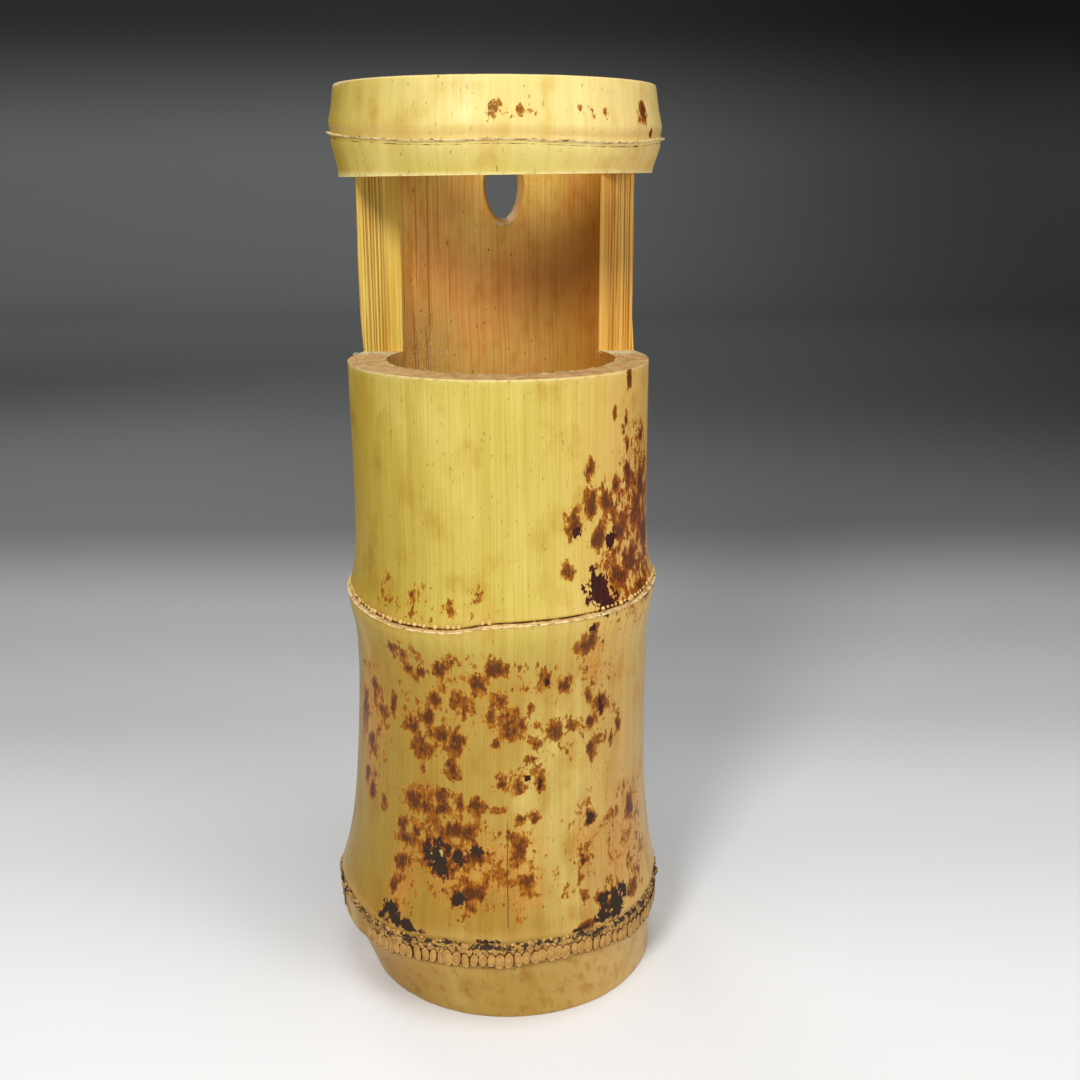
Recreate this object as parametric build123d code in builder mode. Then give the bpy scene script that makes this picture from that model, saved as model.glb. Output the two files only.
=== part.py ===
"""Flower vase cut from the root end of one thick bamboo culm.

The culm stands upright on the short stretch below its lowest node. One wide window is
sawn into the front, which leaves a ring round the mouth and a back wall that carries it.
The back wall has an upright oval hole, so that the vase can also hang from a nail.
The partitions that grew across the culm are opened at the two upper nodes and kept whole
at the lowest one, where a lift-out sheet copper liner stands and holds the water.

Frame: +Z up, +X to the viewer's right, the window faces -Y, and the origin is on the
floor under the middle of the culm. Lengths are in millimetres and angles in degrees.
"""

import math
import os

from build123d import *

# The culm, from the floor up. A swelling is how much wider it is there than its waist.
vase_height = 330.0
waist_radius = 54.2  # the slimmest place, between the upper two nodes
lower_waist_extra = 0.5  # the slimmest place between the lower two is this much wider
foot_height = 25.0
foot_swelling = 1.0
foot_step = 1.2  # how far the top of the foot is set back from the root band
foot_lean = 1.8  # how far the foot's sawn face stands to the right of the origin
base_node_swelling = 8.3
base_node_fade = 26.0  # how far up the wall the swelling over the node dies away
base_node_lean = -1.0
root_band_set_back = 1.8  # how far the root band is set back from the node over it
lower_internode_length = 114.5
middle_node_swelling = 2.9
middle_node_lean = 0.6
middle_node_fade_below = 10.3
middle_node_fade_above = 11.5
top_node_swelling = 2.8
top_node_fade_below = 6.5
top_ridge_swelling = 3.2
top_ridge_above_node = 5.0
ring_above_node = 19.0
rim_swelling = 1.1
cut_edge_rounding = 0.6

# The hollow. It is a little off centre, as the wall is thicker on the left.
bore_offset = 1.2
foot_wall = 17.7
lower_wall = 14.7
upper_wall = 12.8
rim_wall = 13.3
floor_below_scar = 4.5  # from the lowest sheath scar down to the floor's underside
floor_thickness = 6.0
floor_dome = 2.0
partition_thickness = 3.5
top_opening_extra = 1.7  # the top partition is cut back further than the middle one

# The window and the nail hole.
ring_height = 29.3
ring_cut_tilt = 0.75  # the saw cut under the ring rises towards the right
window_height = 63.7
window_back = 19.0  # the two upright cut faces stand this far behind the middle
nail_hole_below_ring = 3.2  # the hole is an egg with its point down; this is its widest place
nail_hole_inner_width = 15.0
nail_hole_inner_drop = 15.0  # from the widest place down to the point
nail_hole_inner_rise = 9.0  # and up to the blunt end
nail_hole_inner_shift = 2.7
nail_hole_outer_width = 12.2
nail_hole_outer_drop = 12.8
nail_hole_outer_rise = 7.6
nail_hole_outer_shift = 1.8
cutter_overrun = 5.0

# Sheath scars: the thin lips that the fallen sheaths left round each node.
scar_height = 1.6
scar_rooting = 2.0  # how deep the lip is rooted in the wall
scar_projection = 0.7
scar_rounding = 0.5

# Root stubs: two staggered rows round the lowest node.
stub_projection = 0.5  # how far they stand out past the node
stub_edge = 0.4
stub_spacing = 0.45
lower_stub_width = 2.6
lower_stub_height = 5.4
upper_stub_width = 2.3
upper_stub_height = 3.8
stub_row_margin = 0.5
stub_row_spacing = 1.3

# The copper liner.
liner_gap = 10.4  # between the liner and the hollow
liner_below_sill = 22.0
liner_clearance = 0.9  # where its rim passes the middle partition
sheet = 0.8
wire_radius = 1.0
wire_clearance = 0.05
liner_floor_flange = 4.0  # the floor's edge is turned down, so the tube stands on its own end
lap_width = 6.0
lap_foot_gap = 3.0

# Heights that follow from these.
root_band_height = (
    lower_stub_height + stub_row_spacing + upper_stub_height + 2 * stub_row_margin
)
root_band_top = foot_height + root_band_height
middle_node_height = root_band_top + lower_internode_length
top_node_height = vase_height - ring_above_node
top_ridge_height = top_node_height + top_ridge_above_node
ring_underside = vase_height - ring_height
sill_height = ring_underside - window_height
nail_hole_height = ring_underside - nail_hole_below_ring
floor_underside = root_band_top - floor_below_scar
floor_top = floor_underside + floor_thickness
liner_top = sill_height - liner_below_sill

# Radii that follow from these.
lower_waist_radius = waist_radius + lower_waist_extra
foot_radius = lower_waist_radius + foot_swelling
base_node_radius = lower_waist_radius + base_node_swelling
root_band_radius = base_node_radius - root_band_set_back
foot_top_radius = root_band_radius - foot_step
middle_node_radius = lower_waist_radius + middle_node_swelling
top_node_radius = waist_radius + top_node_swelling
top_ridge_radius = waist_radius + top_ridge_swelling
rim_radius = waist_radius + rim_swelling
foot_bore_radius = foot_radius - foot_wall
lower_bore_radius = lower_waist_radius - lower_wall
upper_bore_radius = waist_radius - upper_wall
mouth_bore_radius = rim_radius - rim_wall
bore_axis = Axis((bore_offset, 0, 0), (0, 0, 1))

# The liner's rim is a bead curled outwards round a wire.
liner_radius = upper_bore_radius - liner_gap
bead_radius = wire_radius + wire_clearance + sheet
bead_centre_radius = liner_radius - sheet + bead_radius
bead_centre_height = liner_top - bead_radius
middle_opening_radius = bead_centre_radius + bead_radius + liner_clearance
top_opening_radius = middle_opening_radius + top_opening_extra

half_turn = 180

# The rounds that shape a stretch of the culm are spaced evenly along it.
rounds_per_internode = 16
rounds_per_foot = 5
foot_flare_share = 1.5  # over 1, the foot widens faster the nearer it comes to the roots


def between(low, high, share):
    """The value that lies this share of the way from low to high."""
    return low + (high - low) * share


def even_shares(count):
    """Shares from 0 to 1 in this many even steps, both ends included."""
    return [step / (count - 1) for step in range(count)]


def foot_rounds():
    """Height, radius and lean of each round of the foot, which flares up to the roots."""
    return [
        (
            foot_height * share,
            between(foot_radius, foot_top_radius, share**foot_flare_share),
            between(foot_lean, base_node_lean, share),
        )
        for share in even_shares(rounds_per_foot)
    ]


def internode_rounds(low, high, waist_radius, fade_above_low, fade_below_high):
    """Height, radius and lean of each round between two nodes.

    low and high are the height, radius and lean at the nodes. Over the lower node the
    swelling dies away steadily, and towards the upper one it rises late and fast.
    """
    rounds = []
    for share in even_shares(rounds_per_internode):
        height = between(low[0], high[0], share)
        low_swelling = (low[1] - waist_radius) * math.exp((low[0] - height) / fade_above_low)
        high_reach = (high[0] - height) / fade_below_high
        high_swelling = (high[1] - waist_radius) * math.exp(-(high_reach**2))
        lean = between(low[2], high[2], share)
        rounds.append((height, waist_radius + low_swelling + high_swelling, lean))
    return rounds


base_node = (root_band_top, base_node_radius, base_node_lean)
middle_node = (middle_node_height, middle_node_radius, middle_node_lean)
top_node = (top_node_height, top_node_radius, 0)
root_band = [
    (foot_height, root_band_radius, base_node_lean),
    (root_band_top, root_band_radius, base_node_lean),
]
lower_internode = internode_rounds(
    base_node, middle_node, lower_waist_radius, base_node_fade, middle_node_fade_below
)
upper_internode = internode_rounds(
    middle_node, top_node, waist_radius, middle_node_fade_above, top_node_fade_below
)
rim = [
    top_node,
    (top_ridge_height, top_ridge_radius, 0),
    (
        between(top_ridge_height, vase_height, 0.5),
        between(top_ridge_radius, rim_radius, 0.4),
        0,
    ),
    (vase_height, rim_radius, 0),
]

# The culm wall: one piece of bamboo with its ring, back wall, body and foot.
with BuildPart() as culm_wall:
    for stretch in (foot_rounds(), rim, root_band, lower_internode, upper_internode):
        for height, radius, lean in stretch:
            with BuildSketch(Plane((lean, 0, height))):
                Circle(radius)
        loft()
        # The two sawn ends are eased while nothing joins them yet.
        if stretch is rim:
            edges_by_height = culm_wall.edges().group_by(Axis.Z)
            fillet([edges_by_height[0][0], edges_by_height[-1][0]], cut_edge_rounding)

    # The hollow, from the open root end up to the mouth.
    with BuildSketch(Plane.XZ):
        with BuildLine():
            Polyline(
                (bore_offset, -cutter_overrun),
                (bore_offset + foot_bore_radius, -cutter_overrun),
                (bore_offset + foot_bore_radius, floor_underside),
                (bore_offset + lower_bore_radius, floor_underside),
                (bore_offset + lower_bore_radius, middle_node_height - partition_thickness),
                (bore_offset + upper_bore_radius, middle_node_height - partition_thickness),
                (bore_offset + upper_bore_radius, top_node_height - partition_thickness),
                (bore_offset + mouth_bore_radius, top_node_height - partition_thickness),
                (bore_offset + mouth_bore_radius, vase_height + cutter_overrun),
                (bore_offset, vase_height + cutter_overrun),
                close=True,
            )
        make_face()
    revolve(axis=bore_axis, mode=Mode.SUBTRACT)

    # The window: everything in front of window_back, between the sill and the ring.
    window_half_width = waist_radius + cutter_overrun
    cut_rise = window_half_width * math.tan(math.radians(ring_cut_tilt))
    with BuildSketch(Plane.XZ.offset(-window_back)):
        with BuildLine():
            Polyline(
                (-window_half_width, sill_height),
                (window_half_width, sill_height),
                (window_half_width, ring_underside + cut_rise),
                (-window_half_width, ring_underside - cut_rise),
                close=True,
            )
        make_face()
    extrude(amount=window_back + waist_radius + cutter_overrun, mode=Mode.SUBTRACT)

    # The nail hole narrows a little from the inside of the back wall to the outside.
    inner_end = (
        upper_bore_radius - cutter_overrun,
        nail_hole_inner_shift,
        nail_hole_inner_width / 2,
        nail_hole_inner_drop,
        nail_hole_inner_rise,
    )
    outer_end = (
        waist_radius + cutter_overrun,
        nail_hole_outer_shift,
        nail_hole_outer_width / 2,
        nail_hole_outer_drop,
        nail_hole_outer_rise,
    )
    for depth, shift, half_width, drop, rise in (inner_end, outer_end):
        middle = (shift, nail_hole_height)
        with BuildSketch(Plane.XZ.offset(-depth)):
            with BuildLine():
                EllipticalCenterArc(middle, half_width, rise, start_angle=0, arc_size=half_turn)
                EllipticalCenterArc(middle, half_width, drop, start_angle=half_turn, arc_size=half_turn)
            make_face()
    loft(mode=Mode.SUBTRACT)

    # A shallow round slot at each node, where the sheath scar is rooted.
    for height, radius, lean in (base_node, middle_node, top_node):
        with BuildSketch(Plane((lean, 0, height))):
            Circle(radius + cutter_overrun)
            Circle(radius - scar_rooting, mode=Mode.SUBTRACT)
        extrude(amount=scar_height, mode=Mode.SUBTRACT)


def sheath_scar(node):
    """The lip round one node: a thin ring that fills its slot and stands a little proud."""
    height, radius, lean = node
    with BuildPart() as scar:
        with BuildSketch(Plane((lean, 0, height))):
            Circle(radius + scar_projection)
            Circle(radius - scar_rooting, mode=Mode.SUBTRACT)
        extrude(amount=scar_height)
        lip = scar.faces().filter_by(GeomType.CYLINDER).sort_by(SortBy.AREA)[-1]
        fillet(lip.edges(), scar_rounding)
    return scar


base_sheath_scar = sheath_scar(base_node)
middle_sheath_scar = sheath_scar(middle_node)
top_sheath_scar = sheath_scar(top_node)

stub_count = int(2 * math.pi * root_band_radius / (lower_stub_width + stub_spacing))


def root_stubs(width, height, middle_height, first_angle):
    """One row of cut-off roots, standing on the root band all the way round."""
    with BuildPart() as stub:
        with BuildSketch(Plane.YZ.offset(root_band_radius)):
            Ellipse(width / 2, height / 2)
        extrude(amount=root_band_set_back + stub_projection)
        chamfer(stub.faces().sort_by(Axis.X)[-1].edges(), stub_edge)
    with BuildPart() as row:
        with Locations((base_node_lean, 0, middle_height)):
            with PolarLocations(0, stub_count, start_angle=first_angle):
                add(stub.part)
    return row


half_pitch = half_turn / stub_count
lower_row_middle = foot_height + stub_row_margin + lower_stub_height / 2
upper_row_middle = root_band_top - stub_row_margin - upper_stub_height / 2
root_stubs_lower = root_stubs(lower_stub_width, lower_stub_height, lower_row_middle, 0)
root_stubs_upper = root_stubs(upper_stub_width, upper_stub_height, upper_row_middle, half_pitch)

# The partitions that grew across the culm.
with BuildPart() as floor_partition:
    with BuildSketch(Plane((bore_offset, 0, floor_underside))):
        Circle(lower_bore_radius)
    extrude(amount=floor_thickness)
    with BuildSketch(Plane.XZ):
        with BuildLine():
            dome = TangentArc(
                (bore_offset, floor_underside + floor_dome),
                (bore_offset + foot_bore_radius, floor_underside),
                tangent=(1, 0),
            )
            Polyline(dome @ 1, (bore_offset, floor_underside), dome @ 0)
        make_face()
    revolve(axis=bore_axis, mode=Mode.SUBTRACT)


def opened_partition(node_height, outer_radius, opening_radius):
    """What is left of a partition once its middle is cut out: a narrow ledge."""
    with BuildPart() as ledge:
        with BuildSketch(Plane((bore_offset, 0, node_height - partition_thickness))):
            Circle(outer_radius)
            Circle(opening_radius, mode=Mode.SUBTRACT)
        extrude(amount=partition_thickness)
    return ledge


middle_partition_ledge = opened_partition(
    middle_node_height, upper_bore_radius, middle_opening_radius
)
top_partition_ledge = opened_partition(top_node_height, mouth_bore_radius, top_opening_radius)

# The lift-out liner: a rolled copper tube, its soldered floor and its wired rim.
with BuildPart() as liner_tube:
    with BuildSketch(Plane((bore_offset, 0, floor_top))):
        Circle(liner_radius)
        Circle(liner_radius - sheet, mode=Mode.SUBTRACT)
    extrude(amount=bead_centre_height - floor_top)
    with BuildSketch(Plane.XZ):
        with Locations((bore_offset + bead_centre_radius, bead_centre_height)):
            Circle(bead_radius)
    revolve(axis=bore_axis)
    with BuildSketch(Plane.XZ):
        with Locations((bore_offset + bead_centre_radius, bead_centre_height)):
            Circle(wire_radius + wire_clearance)
    revolve(axis=bore_axis, mode=Mode.SUBTRACT)

with BuildPart() as liner_rim_wire:
    with BuildSketch(Plane.XZ):
        with Locations((bore_offset + bead_centre_radius, bead_centre_height)):
            Circle(wire_radius)
    revolve(axis=bore_axis)

with BuildPart() as liner_floor:
    dish_radius = liner_radius - sheet
    with BuildSketch(Plane((bore_offset, 0, floor_top))):
        Circle(dish_radius)
    extrude(amount=liner_floor_flange)
    with BuildSketch(Plane((bore_offset, 0, floor_top))):
        Circle(dish_radius - sheet)
    extrude(amount=liner_floor_flange - sheet, mode=Mode.SUBTRACT)

# The sheet's two edges overlap in a soldered lap seam down the back of the tube.
with BuildPart() as liner_lap_seam:
    lap_angle = math.degrees(lap_width / liner_radius)
    lap_start = (half_turn - lap_angle) / 2
    with BuildSketch(Plane((bore_offset, 0, floor_top + lap_foot_gap))):
        with BuildLine():
            lap_outside = CenterArc((0, 0), liner_radius + sheet, lap_start, lap_angle)
            lap_inside = CenterArc((0, 0), liner_radius, lap_start, lap_angle)
            Line(lap_outside @ 0, lap_inside @ 0)
            Line(lap_outside @ 1, lap_inside @ 1)
        make_face()
    extrude(amount=bead_centre_height - bead_radius - floor_top - lap_foot_gap)

# Each finished piece is written to a file under its own name.
pieces = {
    "culm_wall": culm_wall,
    "base_sheath_scar": base_sheath_scar,
    "middle_sheath_scar": middle_sheath_scar,
    "top_sheath_scar": top_sheath_scar,
    "root_stubs_lower": root_stubs_lower,
    "root_stubs_upper": root_stubs_upper,
    "floor_partition": floor_partition,
    "middle_partition_ledge": middle_partition_ledge,
    "top_partition_ledge": top_partition_ledge,
    "liner_tube": liner_tube,
    "liner_floor": liner_floor,
    "liner_rim_wire": liner_rim_wire,
    "liner_lap_seam": liner_lap_seam,
}
os.makedirs("parts", exist_ok=True)
for name, piece in pieces.items():
    piece.part.label = name
    export_step(piece.part, f"parts/{name}.step")
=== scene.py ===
"""Looks for the bamboo flower vase: its skin, stains, scars, roots and copper liner.

Shapes are worked out in millimetres, and mm turns them into Blender's metres. A place on
the culm is an angle, in degrees round from the front towards the viewer's right, and a
height. The three nodes wander up and down round the culm, so a height is first given as
on the straight culm, and node_shift moves it to where the wandering node takes it.
"""

import math
import random

import bpy
import numpy as np
from mathutils import Matrix, Vector, noise


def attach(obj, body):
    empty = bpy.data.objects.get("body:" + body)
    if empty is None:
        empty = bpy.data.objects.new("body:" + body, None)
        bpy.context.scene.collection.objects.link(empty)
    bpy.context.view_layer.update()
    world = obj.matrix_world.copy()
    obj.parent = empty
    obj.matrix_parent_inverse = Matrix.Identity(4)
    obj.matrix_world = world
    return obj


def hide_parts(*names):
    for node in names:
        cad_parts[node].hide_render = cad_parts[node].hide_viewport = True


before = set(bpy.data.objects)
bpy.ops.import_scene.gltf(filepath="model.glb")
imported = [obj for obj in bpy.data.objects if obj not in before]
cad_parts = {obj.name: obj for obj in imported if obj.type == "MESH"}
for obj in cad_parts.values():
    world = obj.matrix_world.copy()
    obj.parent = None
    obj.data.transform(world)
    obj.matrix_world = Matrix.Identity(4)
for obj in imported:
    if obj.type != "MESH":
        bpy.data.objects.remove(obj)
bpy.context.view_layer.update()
bpy.ops.object.select_all(action="DESELECT")

mm = 0.001
half_turn = 180
full_turn = 360


# Camera, where the photograph was taken from.
camera_place = (0, -467.5, 299.6)
camera_tilt = 74.31
camera_turn = -1.87
camera_lens = 42.92
sensor_width = 36

bpy.ops.object.camera_add(
    location=Vector(camera_place) * mm,
    rotation=(math.radians(camera_tilt), 0, math.radians(camera_turn)),
)
camera = bpy.context.object
camera.data.lens = camera_lens
camera.data.sensor_width = sensor_width
bpy.context.scene.camera = camera
bpy.context.scene.view_settings.view_transform = "Standard"


# The culm, as it is in the CAD model.
vase_height = 330
foot_height = 25
base_node = 36.5
middle_node = 151
top_node = 311
ring_underside = 300.7
ring_cut_tilt = 0.75
sill = 237
window_back = 19
waist_radius = 54.2
lower_waist_radius = 54.7
foot_radius = 55.7
foot_top_radius = 60
foot_flare = 1.15
root_band_radius = 62.4
base_node_swelling = 8.3
base_node_fade = 26
middle_node_swelling_below = 2.9
middle_node_fade_below = 10.3
middle_node_swelling_above = 3.6
middle_node_fade_above = 7.5
top_node_swelling = 2.8
top_node_fade_below = 6.5
rim_points = ((311, 57.0), (314, 57.2), (316, 57.4), (318, 57.1), (321, 56.5), (325, 55.9), (330, 55.3))
bore_offset = 1.2
foot_bore = 38
lower_bore = 40
upper_bore = 41.4
mouth_bore = 42
partition_thickness = 3.5
middle_opening = 34.8
top_opening = 36.5

# The hairline crack low on the front: how far right, how wide, and the heights of its two ends.
crack_place = 1.9
crack_half_width = 0.12
crack_low = 41
crack_low_fade = 1
crack_high = 84
crack_high_fade = 8

# Grooves round the culm: height, half height and depth.
grooves = ((24.9, 0.5, 0.5), (36.9, 0.6, 0.3), (152.7, 0.5, 0.8), (310.6, 0.4, 0.2), (313.3, 0.6, 0.2))

# How far the middle of the culm stands to the right at each height.
lean_points = (
    (0, 3.4), (12, 1.2), (25, -1.0), (36, -1.5), (56, -0.8), (88, 0.1), (120, 0.8), (160, 0.8),
    (236, 0.3), (250, -0.5), (295, -0.5), (311, 0), (330, -0.1),
)

# How far each node wanders up, by angle. The back is made up in the same manner.
foot_top_wander = (
    (-150, -1.5), (-110, -2.5), (-75, -3.5), (-52, -2.5), (-21, -0.5), (0, 0), (14, 1),
    (25, 1), (37, -0.5), (54, -4), (75, -4.5), (110, -2), (150, 0.5), (180, 0),
)
base_wander = (
    (-150, 0.5), (-110, -0.5), (-80, 1), (-62, 0.5), (-50, -2), (-40, -2.5), (-29, -1.5), (-18, 0),
    (0, -1), (8, 0.5), (24, -1), (49, -2), (62, -2.5), (76, -0.5), (110, -1), (150, -1), (180, 1),
)
middle_wander = (
    (-140, 0), (-100, 1), (-78, 1.5), (-68, 0), (-55, -1), (-41, -2), (-19, -1), (-13, 0),
    (-6, 2), (10, 2.5), (48, 2.5), (60, 3), (72, 4.5), (100, 4), (140, 1.5), (180, -1),
)
top_wander = (
    (-150, 0.5), (-110, 2.5), (-76, 2.5), (-68, 1.5), (-53, 0.5), (-26, -1), (-13, -1), (2, -0.5),
    (36, -1.5), (54, -1), (72, 0.5), (110, 1), (150, 0), (180, -0.5),
)
wander_corner = 5  # the corners of these lines are rounded over this many degrees each way
corner_steps = 5

# The heights at which each line holds in full. It fades into the next one, and None is level.
wander_reaches = (
    (0, None), (25, foot_top_wander), (37.3, base_wander), (62, None), (128, None),
    (151.8, middle_wander), (176, None), (299, None), (311.8, top_wander), (326, None),
)


def smooth(share):
    """Eases a share in and out between 0 and 1."""
    share = np.clip(share, 0, 1)
    return share * share * (3 - 2 * share)


def read(points, place):
    """The value at a place on a line through given points."""
    places, values = zip(*points)
    return np.interp(place, places, values)


def wander(points, angle):
    """How far a node wanders up at an angle, with the corners of its line rounded."""
    if points is None:
        return np.zeros_like(angle)
    angles, values = zip(*points)
    steps = np.linspace(-wander_corner, wander_corner, corner_steps)
    return sum(np.interp(angle + step, angles, values, period=full_turn) for step in steps) / corner_steps


def node_shift(angle, height):
    """How far the wandering nodes move a place on the skin up."""
    angle, height = np.broadcast_arrays(np.asarray(angle, float), np.asarray(height, float))
    moved = np.zeros(height.shape)
    for (low, low_points), (high, high_points) in zip(wander_reaches, wander_reaches[1:]):
        inside = (height >= low) & (height < high)
        share = smooth((height - low) / (high - low))
        between = wander(low_points, angle) * (1 - share) + wander(high_points, angle) * share
        moved = np.where(inside, between, moved)
    return moved


def hump(place, middle, reach):
    """1 in the middle of a hump, and fading out on both sides of it."""
    return np.exp(-(((place - middle) / reach) ** 2))


def skin_radius(height):
    """Radius of the culm's outside at a height on the straight culm."""
    height = np.asarray(height, float)
    foot_share = np.clip(height / foot_height, 0, 1) ** foot_flare
    foot = foot_radius + (foot_top_radius - foot_radius) * foot_share
    lower = lower_waist_radius + base_node_swelling * np.exp((base_node - height) / base_node_fade)
    lower += middle_node_swelling_below * hump(height, middle_node, middle_node_fade_below)
    above = np.maximum(height - middle_node, 0)
    upper = waist_radius + middle_node_swelling_above * np.exp(-above / middle_node_fade_above)
    upper += top_node_swelling * hump(height, top_node, top_node_fade_below)
    stretches = [height < foot_height, height < base_node, height < middle_node, height < top_node]
    radius = np.select(stretches, [foot, root_band_radius, lower, upper], read(rim_points, height))
    for middle, half, depth in grooves:
        radius = radius - depth * hump(height, middle, half)
    return radius


def at_angle(angle, radius, height):
    """The place at an angle, and at a radius from an upright line through the origin."""
    turn = np.radians(angle)
    return np.stack(np.broadcast_arrays(radius * np.sin(turn), -radius * np.cos(turn), height), axis=-1)


def on_skin(angle, height, out=0):
    """A place on the culm's outside, this many millimetres proud of it."""
    spot = at_angle(angle, skin_radius(height) + out, height + node_shift(angle, height))
    spot[..., 0] += read(lean_points, height)
    return spot


def grown(points, seed, size, amount):
    """Noise of this size and amount, in millimetres, at each point."""
    flat = points.reshape(-1, 3) / size + seed
    values = [noise.noise(Vector(point)) for point in flat]
    return amount * np.array(values).reshape(points.shape[:-1])


def grown_round(angle, seed, size, amount):
    """Noise of this size and amount round the culm, the same at every height."""
    turn = np.radians(angle)
    ring = np.stack([np.sin(turn), np.cos(turn), np.zeros_like(turn)], axis=-1) * waist_radius
    return grown(ring, seed, size, amount)


# Mesh helpers.
merge_distance = 0.01


def choose(*pieces):
    """Selects these pieces alone, with the first one active."""
    bpy.ops.object.select_all(action="DESELECT")
    for piece in pieces:
        piece.select_set(True)
    bpy.context.view_layer.objects.active = pieces[0]


def place(piece, points):
    """Puts every vertex of a piece at its place, given in millimetres."""
    piece.data.vertices.foreach_set("co", (np.asarray(points, float) * mm).ravel())
    piece.data.update()


def places(piece):
    """Where every vertex of a piece is, in millimetres."""
    points = np.zeros(len(piece.data.vertices) * 3)
    piece.data.vertices.foreach_get("co", points)
    return points.reshape(-1, 3) / mm


def grid(name, columns, rows):
    """A flat grid, and where each of its points is across and along it, from 0 to 1."""
    bpy.ops.mesh.primitive_grid_add(x_subdivisions=columns, y_subdivisions=rows, size=2)
    piece = bpy.context.object
    piece.name = name
    flat = np.array([vertex.co for vertex in piece.data.vertices])
    return piece, (flat[:, 0] + 1) / 2, (flat[:, 1] + 1) / 2


def close_up():
    """Merges the points of the active piece that coincide, and turns its faces outwards."""
    bpy.ops.object.mode_set(mode="EDIT")
    bpy.ops.mesh.select_all(action="SELECT")
    bpy.ops.mesh.remove_doubles(threshold=merge_distance * mm)
    bpy.ops.mesh.normals_make_consistent(inside=False)
    bpy.ops.object.mode_set(mode="OBJECT")


def closed_ring(name, points):
    """A closed ring wrapped from a grid, given by column round it and by row of its section."""
    columns, rows = points.shape[:2]
    piece, across, along = grid(name, columns, rows)
    column = np.round(across * columns).astype(int) % columns
    row = np.round(along * rows).astype(int) % rows
    place(piece, points[column, row])
    close_up()
    return piece


def dress(piece, material, crease):
    """Gives a piece its material, and shades it smooth except at edges sharper than the crease."""
    piece.data.materials.append(material)
    choose(piece)
    bpy.ops.object.shade_smooth_by_angle(angle=math.radians(crease))


def strewn(name, model, matrices, material, crease):
    """Copies of a model, placed by matrices in millimetres and joined into one piece."""
    pieces = []
    for matrix in matrices:
        piece = model.copy()
        piece.data = model.data.copy()
        piece.data.transform(Matrix.Scale(mm, 4) @ matrix)
        bpy.context.scene.collection.objects.link(piece)
        pieces.append(piece)
    choose(*pieces)
    bpy.ops.object.join()
    bpy.data.objects.remove(model)
    made = pieces[0]
    made.name = name
    dress(made, material, crease)
    return made


def cut_away(piece, cutter):
    """Cuts the shape of the cutter out of a piece."""
    cut = piece.modifiers.new("cut", "BOOLEAN")
    cut.object = cutter
    cut.operation = "DIFFERENCE"
    cut.solver = "MANIFOLD"
    choose(piece)
    bpy.ops.object.modifier_apply(modifier=cut.name)
    bpy.data.objects.remove(cutter)


def paint(piece, name, values):
    """Keeps a value for every vertex, which the materials read."""
    layer = piece.data.attributes.new(name, "FLOAT", "POINT")
    layer.data.foreach_set("value", np.asarray(values, np.float32))


def paint_ground(piece, name, points):
    """Keeps straightened coordinates for every vertex, which the fibres of a finish follow."""
    layer = piece.data.attributes.new(name, "FLOAT_VECTOR", "POINT")
    layer.data.foreach_set("vector", (np.asarray(points, np.float32) * mm).ravel())


# Material helpers.
def tone(red, green, blue):
    """A colour as a screen shows it, from 0 to 255, as a shader takes it."""
    shares = [channel / 255 for channel in (red, green, blue)]
    linear = [s / 12.92 if s <= 0.04045 else ((s + 0.055) / 1.055) ** 2.4 for s in shares]
    return (*linear, 1)


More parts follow.
